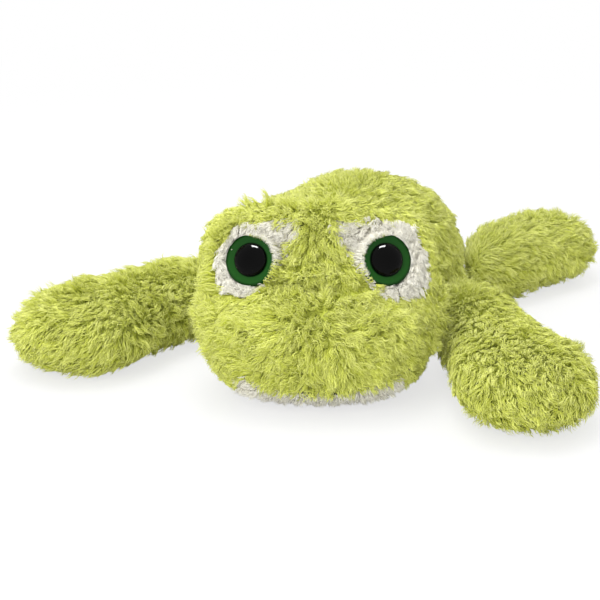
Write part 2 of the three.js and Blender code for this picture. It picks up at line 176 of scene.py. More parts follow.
world = bpy.data.worlds.new("room")
world.use_nodes = True
room_light = 0.56
room = world.node_tree.nodes["Background"]
room.inputs["Color"].default_value = (1, 1, 1, 1)
strength = seen_directly(world.node_tree) * (1 - room_light) + room_light
world.node_tree.links.new(strength.socket, room.inputs["Strength"])
scene.world = world


def add_softbox(name, place, size, power):
    """Rectangular lamp, aimed at the face from a place measured from it."""
    lamp = bpy.data.lights.new(name, "AREA")
    lamp.shape = "RECTANGLE"
    lamp.size, lamp.size_y = size
    lamp.energy = power
    holder = bpy.data.objects.new(name, lamp)
    holder.location = face + Vector(place)
    holder.rotation_euler = (face - holder.location).to_track_quat("-Z", "Y").to_euler()
    scene.collection.objects.link(holder)
    return holder


overhead = add_softbox("overhead_softbox", (-0.25, 0.0, 0.95), (0.9, 0.7), 4.6)
front_fill = add_softbox("front_fill", (-0.5, -1.15, 0.78), (1.4, 1.0), 15.0)
back_fill = add_softbox("back_fill", (0.5, 1.3, 0.8), (1.4, 1.0), 6.0)
for lamp_holder in (overhead, front_fill, back_fill):
    lamp_holder.visible_glossy = False
catch_light = add_softbox("catch_light", (0.0, 0.16, 1.0), (0.46, 0.28), 55.0)
catch_light.visible_diffuse = False

camera_distance = 620 * mm
camera_elevation = math.radians(20)
picture_size = 600
face_pixel = (318.5, 321)
lens = bpy.data.cameras.new("camera")
lens.sensor_width = 36
lens.angle = math.radians(22.35)
lens.shift_x = (picture_size / 2 - face_pixel[0]) / picture_size
lens.shift_y = (face_pixel[1] - picture_size / 2) / picture_size
lens.clip_start = 0.01
camera = bpy.data.objects.new("camera", lens)
backwards = Vector((0, -math.cos(camera_elevation), math.sin(camera_elevation)))
camera.location = face + backwards * camera_distance
camera.rotation_euler = (-backwards).to_track_quat("-Z", "Y").to_euler()
scene.collection.objects.link(camera)
scene.camera = camera


# Stuffed forms: the knitted backing cloth of the trunk, the head and the four limbs, sewn from
# panels and filled with polyester fibre. The pile hides all of it but its shape.
limb_names = ("front_left", "front_right", "hind_left", "hind_right")
cloth_nodes = {
    "torso": ["back_cover", "belly_panel", "torso_filling", "pellet_pouch"],
    "head": [
        "crown_cover", "chin_panel", "muzzle_cover_left", "muzzle_cover_right",
        "eye_patch_left", "eye_patch_right", "head_filling",
    ],
}
for limb in limb_names:
    cloth_nodes[f"{limb}_limb"] = [f"{limb}_cover", f"{limb}_sole", f"{limb}_filling"]
cream_nodes = ("belly_panel", "chin_panel", "eye_patch_left", "eye_patch_right")
form_detail = 2.0 * mm
smoothing_rounds = 24
pile_depth = 4.0 * mm


def mesh_of(name, points, faces, material):
    """A new object from arrays of points and of equal-sided faces."""
    mesh = bpy.data.meshes.new(name)
    sides = faces.shape[1]
    mesh.vertices.add(len(points))
    mesh.vertices.foreach_set("co", points.astype(np.float32).ravel())
    mesh.loops.add(faces.size)
    mesh.loops.foreach_set("vertex_index", faces.astype(np.int32).ravel())
    mesh.polygons.add(len(faces))
    mesh.polygons.foreach_set("loop_start", np.arange(0, faces.size, sides, dtype=np.int32))
    mesh.update(calc_edges=True)
    mesh.polygons.foreach_set("use_smooth", np.ones(len(faces), bool))
    return placed(name, mesh, material)


def unit(vectors):
    return vectors / np.maximum(np.linalg.norm(vectors, axis=-1, keepdims=True), 1e-12)


def points_and_triangles(mesh):
    """Points and corner indices of a mesh, with every face cut into triangles."""
    mesh.calc_loop_triangles()
    points = np.empty(len(mesh.vertices) * 3)
    mesh.vertices.foreach_get("co", points)
    corners = np.empty(len(mesh.loop_triangles) * 3, np.int32)
    mesh.loop_triangles.foreach_get("vertices", corners)
    return points.reshape(-1, 3), corners.reshape(-1, 3)


def largest_shell(points, triangles):
    """Only the outer skin of a remeshed form, without the small hollows inside it."""
    label = np.arange(len(points))
    while True:
        lowest = label.copy()
        for a, b in ((0, 1), (1, 2), (2, 0)):
            np.minimum.at(lowest, triangles[:, a], label[triangles[:, b]])
            np.minimum.at(lowest, triangles[:, b], label[triangles[:, a]])
        lowest = lowest[lowest]
        if np.array_equal(lowest, label):
            break
        label = lowest
    main = np.bincount(label).argmax()
    kept = label == main
    number = np.cumsum(kept) - 1
    return points[kept], number[triangles[kept[triangles[:, 0]]]]


def normals_of(points, triangles):
    a, b, c = (points[triangles[:, i]] for i in range(3))
    facing = np.cross(b - a, c - a)
    total = np.zeros_like(points)
    for i in range(3):
        np.add.at(total, triangles[:, i], facing)
    return unit(total)


def triangle_areas(points, triangles):
    a, b, c = (points[triangles[:, i]] for i in range(3))
    return np.linalg.norm(np.cross(b - a, c - a), axis=1) / 2


def smoothed(points, triangles, rounds):
    """Points drawn to the middle of their neighbours, as stuffing rounds a cloth cover. Every
    second step pushes them back by a little more, which keeps the form from shrinking."""
    edges = np.concatenate([triangles[:, [0, 1]], triangles[:, [1, 2]], triangles[:, [2, 0]]])
    count = np.bincount(edges[:, 0], minlength=len(points))[:, None]
    for step in range(rounds * 2):
        total = np.zeros_like(points)
        np.add.at(total, edges[:, 0], points[edges[:, 1]])
        pull = 0.5 if step % 2 == 0 else -0.51
        points = points + (total / count - points) * pull
    return points


def groove(distance, width):
    """1 on a seam, falling to 0 at a few widths from it."""
    return np.exp(-(distance / width) ** 2)


# The crease under the nose: how far it reaches to each side and how high it lies, in mm
crease_reach = 19


def crease_height(right):
    return 53.5 + 0.1 * np.abs(right)


def seam_dents(points):
    """How far thread pulls in the head's cloth, along the parting of the muzzle and the crease
    under the nose."""
    right = (points[:, 0] - face.x) / mm
    up = points[:, 2] / mm
    in_front = points[:, 1] < face.y + 20 * mm
    parting_width, parting_depth, parting_foot = 2.2, 1.2, 14
    parting = parting_depth * groove(right, parting_width) * (up > parting_foot)
    crease_width, crease_depth = 2.0, np.where(right < 0, 3.6, 2.4)
    crease = crease_depth * groove(up - crease_height(right), crease_width)
    return np.maximum(parting, crease * (np.abs(right) < crease_reach)) * in_front * mm


def swelling(offsets, reach, height):
    """How far packed fibre pushes the cloth out, at offsets in mm from the swelling's middle."""
    return height * mm * np.exp(-((offsets / reach) ** 2).sum(axis=1))


def packed_head(points, triangles):
    """The head's cloth, pulled in by thread and pushed out by the fibre in its upper corners,
    and forward by the fibre in its jaw."""
    from_face = (points - np.array(face)) / mm
    corners_middle, corners_apart = (0, 24, 30), (41, 0, 0)
    from_corner = np.abs(from_face - corners_middle) - corners_apart
    corners_out = swelling(from_corner, (15, 24, 18), 2.8)
    jaw_forward = swelling(from_face - (0, -41, -36), (33, 16, 8), 9.0)
    normals = normals_of(points, triangles)
    nearly_level = unit(normals * (1, 1, 0.01))
    moved = normals * (corners_out - seam_dents(points))[:, None]
    return points + moved + nearly_level * jaw_forward[:, None]


def slack(points):
    """How much further in the cloth of the front right limb lies, which is stuffed less than
    the others, apart from its pinched root."""
    from_root = np.linalg.norm(points - np.array(joint_places["front_right_lift"]), axis=1)
    pinched_end, slack_start, deepest = 30 * mm, 45 * mm, 1.5 * mm
    return deepest * np.clip((from_root - pinched_end) / (slack_start - pinched_end), 0, 1)


def stuffed_form(body):
    """Outer surface of a body's CAD cloth: points, triangles and normals, rounded."""
    joined = bpy.data.meshes.new("joined")
    parts = [points_and_triangles(frame["nodes"][name].data) for name in cloth_nodes[body]]
    starts = np.cumsum([0] + [len(points) for points, _ in parts])
    faces = np.concatenate([triangles + start for (_, triangles), start in zip(parts, starts)])
    points = np.concatenate([points for points, _ in parts])
    joined.from_pydata(points.tolist(), [], faces.tolist())
    holder = bpy.data.objects.new("joined", joined)
    scene.collection.objects.link(holder)
    remesh = holder.modifiers.new("remesh", "REMESH")
    remesh.mode = "VOXEL"
    remesh.voxel_size = form_detail
    evaluated = holder.evaluated_get(bpy.context.evaluated_depsgraph_get())
    points, triangles = largest_shell(*points_and_triangles(evaluated.to_mesh()))
    evaluated.to_mesh_clear()
    bpy.data.objects.remove(holder)
    points = smoothed(points, triangles, smoothing_rounds)
    if body == "head":
        points = packed_head(points, triangles)
    if body == "front_right_limb":
        points = points - normals_of(points, triangles) * slack(points)[:, None]
    return points, triangles, normals_of(points, triangles)


def knit_paint(deep, raised):
    """Knitted cloth in small cells of two shades, deep in colour between its loops; that deeper
    colour between the loops is painted shade.
    """
    def paint(start):
        knit = {"Vector": object_place(start), "Scale": 900.0}
        return start.node("ShaderNodeTexVoronoi", {}, knit).mixed(deep, raised)
    return paint


# The cream that shows of each eye patch, where the lime pile round it doesn't lap over its
# seam: corners in mm to the right of the face's middle and above the floor
shown_cream = {
    "left": (
        (-31.5, 78.6), (-6.5, 79.6), (-7, 75), (-12, 70.5), (-13, 65), (-16.5, 61.3), (-20, 57),
        (-24, 54), (-27, 52), (-33.5, 51.3), (-40, 52.5), (-42.5, 57.7), (-42.5, 64),
        (-39.5, 70), (-35, 76),
    ),
    "right": (
        (5, 78.8), (19.7, 79.4), (32.9, 80), (39.5, 78), (41, 70.8), (44, 65.6), (45, 57),
        (42.2, 51.2), (35.9, 50.5), (26.5, 52.6), (21.5, 55.4), (18, 57.3), (15, 59.5),
        (11.5, 64.5), (7.5, 71.8),
    ),
}

# In mm on the face: how far from its middle the cheeks' pile hides the lips, and how low it
# hangs there; above which height and beyond which width the crown's pile laps over the patches
lips_end = 35
cheek_foot = 4
crown_foot = 70
crown_side = 36


def inside_outline(across, up, outline):
    """Whether points lie inside a closed outline: an odd number of its edges is beside them."""
    inside = np.zeros(len(across), bool)
    for (x0, z0), (x1, z1) in zip(outline, outline[1:] + outline[:1]):
        beside = (z0 > up) != (z1 > up)
        inside ^= beside & (across < x0 + (up - z0) * (x1 - x0) / (z1 - z0))
    return inside


def trimmed_patches(owner, middles):
    """Gives the lime covers what they lap over of the eye patches and the jaw."""
    across = (middles[:, 0] - face.x) / mm
    up = middles[:, 2] / mm
    in_front = middles[:, 1] < face.y + 26 * mm
    nodes = cloth_nodes["head"]
    for side, outline in shown_cream.items():
        patch = nodes.index(f"eye_patch_{side}")
        shown = inside_outline(across, up, outline) & in_front
        lapped = (owner == patch) & ~shown
        above = (up > crown_foot) | (np.abs(across) > crown_side)
        owner[lapped & above] = nodes.index("crown_cover")
        owner[lapped & ~above] = nodes.index(f"muzzle_cover_{side}")
        owner[shown] = patch
        beside = across < -lips_end if side == "left" else across > lips_end
        cheek = (owner == nodes.index("chin_panel")) & beside & (up > cheek_foot)
        owner[cheek] = nodes.index(f"muzzle_cover_{side}")


def nearest_node_of_triangles(body):
    """For each triangle of a form, which of the body's CAD nodes it lies on."""
    points, triangles, _ = forms[body]
    middles = points[triangles].mean(axis=1)
    nearest = np.full(len(middles), np.inf)
    owner = np.zeros(len(middles), int)
    for number, name in enumerate(cloth_nodes[body]):
        node_points, node_triangles = points_and_triangles(frame["nodes"][name].data)
        tree = BVHTree.FromPolygons(node_points.tolist(), node_triangles.tolist())
        distance = np.array([tree.find_nearest(middle)[3] for middle in middles])
        closer = distance < nearest
        nearest[closer] = distance[closer]
        owner[closer] = number
    if body == "head":
        trimmed_patches(owner, middles)
    return owner


hinges = {f"{limb}_limb": f"{limb}_lift" for limb in limb_names}
hinges["head"] = "neck_nod"


def fasten(piece, body):
    """A piece of the trunk rides on it. For the head or a limb, the direction away from the trunk
    across its hinge is found, and the piece's placement is baked into its mesh."""
    if body == "torso":
        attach(piece, body)
        return
    place = joint_places[hinges[body]]
    axes = {joint["name"]: Vector(joint["axis"]) for joint in frame["joints"]}
    onward = axes[hinges[body]].cross(Vector((0, 0, 1))).normalized()
    if onward.dot(Vector(forms[body][0].mean(axis=0)) - place) < 0:
        onward = -onward
    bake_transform(piece)


def rooting_surface(body):
    """A form's points moved in to where its pile is rooted, or less far where it is thin."""
    points, triangles, normals = forms[body]
    tree = BVHTree.FromPolygons(points.tolist(), triangles.tolist())
    depth = np.full((len(points), 1), pile_depth)
    under_skin, deepest_share = 0.05 * mm, 0.35
    for number, (point, normal) in enumerate(zip(points, normals)):
        start = Vector(point - normal * under_skin)
        thickness = tree.ray_cast(start, Vector(-normal), 3 * pile_depth)[3]
        if thickness is not None:
            depth[number] = min(pile_depth, deepest_share * thickness)
    return points - normals * smoothed(depth, triangles, 3)


forms = {body: stuffed_form(body) for body in cloth_nodes}
triangle_node = {body: nearest_node_of_triangles(body) for body in forms}
# The first colour of each knit is its painted shade between the loops, the second its loops' own
# colour
lime_knit = knit_paint((0.60, 0.66, 0.09, 1), (0.74, 0.80, 0.15, 1))
cream_knit = knit_paint((0.76, 0.72, 0.60, 1), (0.86, 0.83, 0.72, 1))
backing = finish_for("knitted_backing", lime_knit, 0.9)
cream_backing = finish_for("cream_knitted_backing", cream_knit, 0.9)
for body, (points, triangles, normals) in forms.items():
    skin = mesh_of(f"backing_{body}", rooting_surface(body), triangles, backing)
    skin.data.materials.append(cream_backing)
    cream = [name in cream_nodes for name in cloth_nodes[body]]
    skin.data.polygons.foreach_set("material_index", np.array(cream, int)[triangle_node[body]])
    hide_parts(*cloth_nodes[body])
    fasten(skin, body)


# Safety eyes: a turned green disc lies on the cloth and a domed black button on the disc.
# Both are polished plastic. The button's shank and its lock washer are hidden behind the cloth.
eye_sides = 72


def turned_piece(name, profile, axis_frame, material):
    """Solid of revolution from (radius, height) pairs, whose first and last radii are 0."""
    angles = np.arange(eye_sides) * (2 * math.pi / eye_sides)
    rings = profile[1:-1]
    points = [(r * math.cos(a), r * math.sin(a), h) for r, h in rings for a in angles]
    points += [(0, 0, profile[0][1]), (0, 0, profile[-1][1])]
    mesh = bpy.data.meshes.new(name)
    faces = []
    last = (len(rings) - 1) * eye_sides
    for i in range(eye_sides):
        j = (i + 1) % eye_sides
        for ring in range(0, last, eye_sides):
            faces.append((ring + i, ring + j, ring + eye_sides + j, ring + eye_sides + i))
        faces.append((len(points) - 2, j, i))
        faces.append((len(points) - 1, last + i, last + j))
    mesh.from_pydata(points, [], faces)
    mesh.transform(axis_frame)
    mesh.polygons.foreach_set("use_smooth", [True] * len(mesh.polygons))
    return placed(name, mesh, material)


def eye_frame(side):
    """Axis frame of an eye, from its CAD disc: +Z along the eye's axis, +Y up."""
    points, _ = points_and_triangles(frame["nodes"][f"iris_disc_{side}"].data)
    middle = points.mean(axis=0)
    _, _, directions = np.linalg.svd(points - middle)
    axis = Vector(directions[2])
    if axis.y > 0:
        axis = -axis
    turn = axis.to_track_quat("Z", "Y").to_matrix().to_4x4()
    turn.translation = Vector(middle)
    return turn


# The UV map that the pieces with a pattern of their own carry. On an eye's pieces it holds the
# share of the radius across, up to uv_reach, and the angle up, where uv_turn is its whole height
uv_reach = 0.9
uv_turn = 2.2 * math.pi


def uv_part(start, part):
    place = start.node("ShaderNodeUVMap", {"uv_map": "OFBake"})
    return place.node("ShaderNodeSeparateXYZ", {}, {0: place}, part)


def iris_paint(start):
    """Green, darker at the top as painted shade from the brow, with a still darker rim, and a dark
    ring round the pupil that is a painted shadow of the pupil's dome.
    """
    out = uv_part(start, "X")
    angle = (uv_part(start, "Y") - 0.5) * uv_turn
    # upper is 1 at the top of the disc, where the green is darkest: painted shade of the brow
    upper = angle.math("SINE", angle, 0.0) * 0.5 + 0.5
    green = upper.mixed((0.011, 0.072, 0.008, 1), (0.008, 0.052, 0.007, 1))
    rimmed = out.smooth_step(0.76, 0.87).mixed(green, (0.006, 0.036, 0.005, 1))
    # The darkest green, just outside the pupil, is a painted shadow of the pupil's dome
    return out.smooth_step(0.56, 0.60, 1.0, 0.0).mixed(rimmed, (0.003, 0.016, 0.004, 1))


def pupil_paint(start):
    return uv_part(start, "X").mixed((0.0004, 0.0004, 0.0004, 1), (0.0015, 0.0015, 0.0015, 1))


def unwrap_by_radius(piece, axis_frame, widest):
    """UV map of a turned piece: u is the share of its radius, v the angle about its axis."""
    inverse = axis_frame.inverted()
    layer = piece.data.uv_layers.new(name="OFBake")
    for polygon in piece.data.polygons:
        places = [inverse @ piece.data.vertices[v].co for v in polygon.vertices]
        middle = sum(places, Vector()) / len(places)
        turn = math.atan2(middle.y, middle.x)
        for loop, place in zip(polygon.loop_indices, places):
            radius = math.hypot(place.x, place.y)
            angle = math.atan2(place.y, place.x) if radius > 1e-7 else turn
            if angle - turn > math.pi:
                angle -= 2 * math.pi
            if turn - angle > math.pi:
                angle += 2 * math.pi
            layer.data[loop].uv = (radius / widest * uv_reach, 0.5 + angle / uv_turn)


iris_radius = 11.0 * mm
iris_rise = 1.3 * mm
pupil_radius = 6.9 * mm
pupil_rise = 3.9 * mm
iris_gloss = finish_for("green_plastic_gloss", iris_paint, 0.10, Specular_IOR_Level=0.1)
pupil_gloss = finish_for("black_plastic_gloss", pupil_paint, 0.05, Specular_IOR_Level=0.08)


def arc(widest, narrowest, low, high, steps):
    """Quarter round from the widest radius up and in to the narrowest."""
    angles = [math.pi / 2 * step / steps for step in range(steps + 1)]
    return [
        (narrowest + (widest - narrowest) * math.cos(a), low + (high - low) * math.sin(a))
        for a in angles
    ]


eye_frames = {}
for side in ("left", "right"):
    axes = eye_frame(side)
    eye_frames[side] = axes
    back = -iris_rise
    disc_profile = [(0, back), (iris_radius - 0.4 * mm, back)]
    disc_profile += arc(iris_radius, iris_radius - 1.8 * mm, 0.1 * mm, iris_rise, 8)
    disc_profile += [(pupil_radius, iris_rise - 0.35 * mm), (0, iris_rise - 0.4 * mm)]
    disc = turned_piece(f"eye_disc_{side}", disc_profile, axes, iris_gloss)
    unwrap_by_radius(disc, axes, iris_radius)
    seat = iris_rise - 0.3 * mm
    dome_profile = [(0, seat), (pupil_radius - 0.3 * mm, seat)]
    dome_profile += arc(pupil_radius, 0, seat + 0.4 * mm, seat + pupil_rise, 16)[:-1]
    dome_profile += [(0, seat + pupil_rise)]
    dome = turned_piece(f"eye_button_{side}", dome_profile, axes, pupil_gloss)
    unwrap_by_radius(dome, axes, pupil_radius)
    for piece, node, slot in (
        (disc, f"iris_disc_{side}", "green_plastic"),
        (dome, f"pupil_button_{side}", "black_plastic"),
    ):
        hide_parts(node)
        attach(piece, "head")


def nylon_paint(start):
    cloud = start.node("ShaderNodeTexNoise", {}, {"Vector": object_place(start), "Scale": 300.0})
    return cloud.mixed((0.66, 0.66, 0.62, 1), (0.76, 0.76, 0.72, 1))


washer_nylon = finish_for("white_nylon", nylon_paint, 0.45)
for side in eye_frames:
    for material_slot in frame["nodes"][f"lock_washer_{side}"].material_slots:
        material_slot.material = washer_nylon


# Mouth: a strip of black cotton, folded along its length and sewn between the lips with the
# fold outward. It follows the seam round the muzzle and shows as a dark line under the fur.
lining_points, _ = points_and_triangles(frame["nodes"]["mouth_lining"].data)
rise, level = np.polyfit((lining_points[:, 0] - face.x) ** 2, lining_points[:, 2], 1)


def mouth_height(points):
    return level + rise * (points[..., 0] - face.x) ** 2


def front_outline(points):
    """Convex outline of points seen from above, from the left end round the front."""
    plan = sorted({(round(x, 6), round(y, 6)) for x, y, _ in points})
    hull = []
    for place in plan:
        while len(hull) > 1:
            (ax, ay), (bx, by) = hull[-2:]
            if (bx - ax) * (place[1] - ay) - (by - ay) * (place[0] - ax) > 0:
                break
            hull.pop()
        hull.append(place)
    return np.array(hull)


outline = front_outline(lining_points)
walked = np.concatenate([[0], np.cumsum(np.linalg.norm(np.diff(outline, axis=0), axis=1))])
strip_length = walked[-1]
strip_steps = 160
along_strip = np.linspace(0, strip_length, strip_steps)
strip_x = np.interp(along_strip, walked, outline[:, 0])
strip_y = np.interp(along_strip, walked, outline[:, 1])
rounding_steps = 6
for _ in range(rounding_steps):
    strip_x[1:-1] = (strip_x[:-2] + 2 * strip_x[1:-1] + strip_x[2:]) / 4
    strip_y[1:-1] = (strip_y[:-2] + 2 * strip_y[1:-1] + strip_y[2:]) / 4
strip = np.stack([strip_x, strip_y, np.zeros(strip_steps)], axis=1)
strip[:, 2] = mouth_height(strip)
heading = unit(np.gradient(strip, axis=0))
outward = unit(np.cross(heading, [0, 0, 1]))

# The stitches pull it a little out and in, up and down. Only by the middle does it lie outside
# the lips' cloth
wander = 0.15 * (np.sin(along_strip / (3.1 * mm)) + 0.6 * np.sin(along_strip / (1.3 * mm) + 1))
shown_middle, shown_width = face.x + 8 * mm, 5 * mm
shown_out, tucked_in = 0.4, 1.8
tucked = 1 - groove(strip_x - shown_middle, shown_width)
strip_out = (wander + shown_out - tucked_in * tucked) * mm
strip = strip + outward * strip_out[:, None]
strip[:, 2] += 0.12 * mm * np.sin(along_strip / (2.2 * mm) + 2)

# Its section: out from the lips and up, in mm, round the two layers and the fold
fold_profile = np.array([
    (-4.3, 0.60), (-2, 0.62), (0, 0.60), (0.42, 0.32), (0.58, 0), (0.42, -0.32), (0, -0.60),
    (-2, -0.62), (-4.3, -0.60), (-4.3, -0.14), (-2, -0.14), (-0.1, -0.12), (0.08, 0),
    (-0.1, 0.12), (-2, 0.14), (-4.3, 0.14),
]) * mm
sides = len(fold_profile)
lining_mesh_points = (
    strip[:, None] + outward[:, None] * fold_profile[None, :, :1]
    + np.array([0, 0, 1]) * fold_profile[None, :, 1:]
).reshape(-1, 3)
lining_faces = []
for step in range(strip_steps - 1):
    a, b = step * sides, (step + 1) * sides
    for i in range(sides):
        j = (i + 1) % sides
        lining_faces.append((a + i, a + j, b + j, b + i))
last = (strip_steps - 1) * sides
lining_faces += [tuple(range(sides))[::-1], tuple(range(last, last + sides))]


def twill_paint(start):
    twill_lines = {"Vector": object_place(start), "Scale": 420.0, "Distortion": 1.5}
    ribs = start.node("ShaderNodeTexWave", {}, twill_lines)
    return ribs.mixed((0.010, 0.010, 0.011, 1), (0.030, 0.030, 0.030, 1))


twill = finish_for("black_cotton", twill_paint, 0.85, Sheen_Weight=0.1)
lining_mesh = bpy.data.meshes.new("folded_mouth_strip")
lining_mesh.from_pydata(lining_mesh_points.tolist(), [], lining_faces)
mouth_strip = placed("folded_mouth_strip", lining_mesh, twill)
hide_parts("mouth_lining")
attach(mouth_strip, "head")


# Pile: every strand is a thin tapering yarn, rooted in the backing. Strands gather in locks
# that share a lean and a curl. Lime pile is long and shaggy, cream pile short and curly.
seed = np.random.default_rng(4786)
strand_sides = 3
triangles_per_piece = 190_000
deepest_root = 7 * mm
uv_margin = 0.01


def side_vectors(along, hint):
    across = unit(np.cross(along, hint))
    return across, np.cross(along, across)


def strand_mesh(name, spines, girth, shade, material):
    """Joins strands into one mesh. A strand is a closed tube of three sides with a point at
    each end. Its UV map holds the strand's shade across and root to tip up."""
    strands, rows, _ = spines.shape
    rings = rows - 2
    along = unit(np.gradient(spines, axis=1))
    hint = np.broadcast_to(unit(np.cross(along[:, :1], [0.31, 0.87, 0.38])), along.shape)
    across, up = side_vectors(along, hint)
    angles = np.arange(strand_sides) * (2 * math.pi / strand_sides)
    circle = (
        across[:, 1:-1, None] * np.cos(angles)[:, None]
        + up[:, 1:-1, None] * np.sin(angles)[:, None]
    )
    tube = spines[:, 1:-1, None] + circle * girth[:, 1:-1, None, None]
    ring_points = tube.reshape(strands, rings * strand_sides, 3)
    points = np.concatenate([spines[:, :1], ring_points, spines[:, -1:]], axis=1)
    per_strand = points.shape[1]
    corner = []
    places = []
    slice_width, shade_reach = 0.01, 0.95
    for i in range(strand_sides):
        j = (i + 1) % strand_sides
        low, high = i * slice_width, (i + 1) * slice_width
        corner.append((0, 1 + j, 1 + i))
        places.append(((low + high) / 2, 0, high, 1, low, 1))
        for ring in range(rings - 1):
            a = 1 + ring * strand_sides
            b = a + strand_sides
            corner.append((a + i, a + j, b + j))
            places.append((low, ring + 1, high, ring + 1, high, ring + 2))
            corner.append((a + i, b + j, b + i))
            places.append((low, ring + 1, high, ring + 2, low, ring + 2))
        a = 1 + (rings - 1) * strand_sides
        corner.append((a + i, a + j, per_strand - 1))
        places.append((low, rings, high, rings, (low + high) / 2, rings + 1))
    corner = np.array(corner)
    places = np.array(places, float).reshape(len(corner), 3, 2)
    places[..., 1] *= (1 - 2 * uv_margin) / (rings + 1)
    places[..., 1] += uv_margin
    faces = corner[None] + (np.arange(strands) * per_strand)[:, None, None]
    piece = mesh_of(name, points.reshape(-1, 3), faces.reshape(-1, 3), material)
    layer = piece.data.uv_layers.new(name="OFBake")
    spread = places[None].repeat(strands, axis=0)
    spread[..., 0] += (shade * shade_reach)[:, None, None]
    layer.data.foreach_set("uv", spread.astype(np.float32).ravel())
    return piece


def random_unit(count):
    return unit(seed.normal(size=(count, 3)))


def along_surface(vectors, normals):
    return vectors - normals * (vectors * normals).sum(axis=1, keepdims=True)


def swirl(points, size):
    """Smooth random direction at each point, which turns over about the given size."""
    wave_count, usual_sum = 6, 2.4
    waves = seed.normal(size=(wave_count, 3, 3)) / size
    shift = seed.uniform(0, 2 * math.pi, size=(wave_count, 3))
    total = np.zeros_like(points)
    for wave, start in zip(waves, shift):
        total += np.sin(points @ wave + start)
    return total / usual_sum


def ramp(value, low, high):
    """0 below low, 1 above high and a smooth step between."""
    share = np.clip((value - low) / (high - low), 0, 1)
    return share * share * (3 - 2 * share)


def roots_on(body, chosen, count):
    """Random places on the chosen triangles of a form, with their normals."""
    points, triangles, normals = forms[body]
    corners = triangles[chosen]
    areas = triangle_areas(points, corners)
    picked = seed.choice(len(corners), size=count, p=areas / areas.sum())
    first, second = seed.uniform(size=(2, count, 1))
    fold = first + second > 1
    first, second = np.where(fold, 1 - first, first), np.where(fold, 1 - second, second)
    shares = (1 - first - second, first, second)
    place = sum(share * points[corners[picked, i]] for i, share in enumerate(shares))
    facing = sum(share * normals[corners[picked, i]] for i, share in enumerate(shares))
    return place, unit(facing)


def nearest_centre(points, centres):
    tree = KDTree(len(centres))
    for number, centre in enumerate(centres):
        tree.insert(centre, number)
    tree.balance()
    return np.array([tree.find(point)[1] for point in points])


def depth_inside(points, body):
    """How far points lie inside a body's form; below 0 outside it."""
    form_points, form_triangles, _ = forms[body]
    tree = BVHTree.FromPolygons(form_points.tolist(), form_triangles.tolist())
    depth = np.empty(len(points))
    for number, point in enumerate(points):
        place, normal, _, _ = tree.find_nearest(point)
        depth[number] = -(Vector(point) - place).dot(normal)
    return depth


def grown(roots, normals, lean, length, style):
    """Spines that leave the cloth rather upright, by the style's lying, and bend over further
    and further towards their lean, at most till they lie flat."""
    rows = style["rows"]
    lie = np.linalg.norm(lean, axis=1, keepdims=True)
    towards = lean / np.maximum(lie, 1e-9)
    spine = [roots]
    lying_at_tip, most_tilt = 1.4, math.radians(92)
    for row in range(1, rows):
        share = (row - 0.5) / (rows - 1)
        flatness = style["lying"] + (lying_at_tip - style["lying"]) * share
        tilt = np.minimum(np.arctan(lie) * flatness, most_tilt)
        step = normals * np.cos(tilt) + towards * np.sin(tilt)
        spine.append(spine[-1] + step * length[:, None] / (rows - 1))
    return np.stack(spine, axis=1)


def pressed_on_floor(height):
    """Strands under the toy are pressed together close above the floor."""
    least, springy = 0.3 * mm, 3.2 * mm
    pressed = least + (springy - least) * np.exp((height - springy) / (springy - least))
    return np.where(height < springy, pressed, height)


def eye_places(points, side):
    """Points in an eye's own frame, and their distance from its axis."""
    axes = np.array(eye_frames[side].inverted())
    local = points @ axes[:3, :3].T + axes[:3, 3]
    return local, np.linalg.norm(local[..., :2], axis=-1)


def clear_of_eyes(roots):
    """Which roots don't lie under a disc, apart from those under its edge."""
    kept = np.ones(len(roots), bool)
    under_edge = 2.5 * mm
    for side in eye_frames:
        _, radius = eye_places(roots, side)
        kept &= radius > iris_radius - under_edge
    return kept


def beside_disc(local, radius, side):
    """Directions away from an eye's axis, and the share to which each one points at the nose
    and the brow."""
    turn = np.array(eye_frames[side])
    to_nose = turn[0, :2] * (1 if side == "left" else -1)
    noseward = unit(to_nose + 0.45 * turn[2, :2])
    outward = local[..., :2] / np.maximum(radius, 1e-9)[..., None]
    return outward, ramp(outward @ noseward, 0.0, 0.7)


def least_radius(local, share):
    """How near to an eye's axis a strand may come. On the side of the nose, tips lap over
    the rim of the disc."""
    over = ramp(local[..., 2], 0.4 * mm, 1.5 * mm)
    under_rim, lapped = 0.2 * mm, 2.2 * mm
    return iris_radius - (under_rim + lapped * share * over)


def hooked_over_rims(spines):
    """Some of the strands rooted beside a disc, towards the nose, climb and bend over its rim."""
    share = np.linspace(0, 1, spines.shape[1])[None, :]
    nearest, furthest = iris_radius - 1.2 * mm, iris_radius + 2.2 * mm
    most_hooked, wobble_turns, wobble_out, wobble_angle = 0.55, 1.6, 0.25 * mm, 0.045
    lowest, highest = (0.5 * mm, 1.5 * mm, -0.2), (2.1 * mm, 2.5 * mm, 0.2)
    hooked = spines.copy()
    for side, axes in eye_frames.items():
        local, radius = eye_places(spines[:, 0], side)
        _, nose_share = beside_disc(local, radius, side)
        close = (radius > nearest) & (radius < furthest)
        chosen = close & (seed.uniform(size=len(spines)) < most_hooked * nose_share)
        count = chosen.sum()
        covered, tip_height, drift = seed.uniform(lowest, highest, (count, 3)).T[..., None]
        tip_radius = iris_radius - covered
        wobble = 2 * math.pi * wobble_turns * share + seed.uniform(0, 2 * math.pi, (count, 1))
        start = np.maximum(radius[chosen], iris_radius + 0.4 * mm)[:, None]
        out = start + (tip_radius - start) * share ** 2 + wobble_out * np.cos(wobble) * share
        low = local[chosen, 2][:, None]
        height = low + (tip_height - low) * np.sin(share * math.pi / 2)
        angle = np.arctan2(local[chosen, 1], local[chosen, 0])[:, None]
        angle = angle + drift * share + wobble_angle * np.sin(wobble) * share
        curved = np.stack([out * np.cos(angle), out * np.sin(angle), height], axis=-1)
        turn = np.array(axes)
        hooked[chosen] = curved @ turn[:3, :3].T + turn[:3, 3]
    return hooked


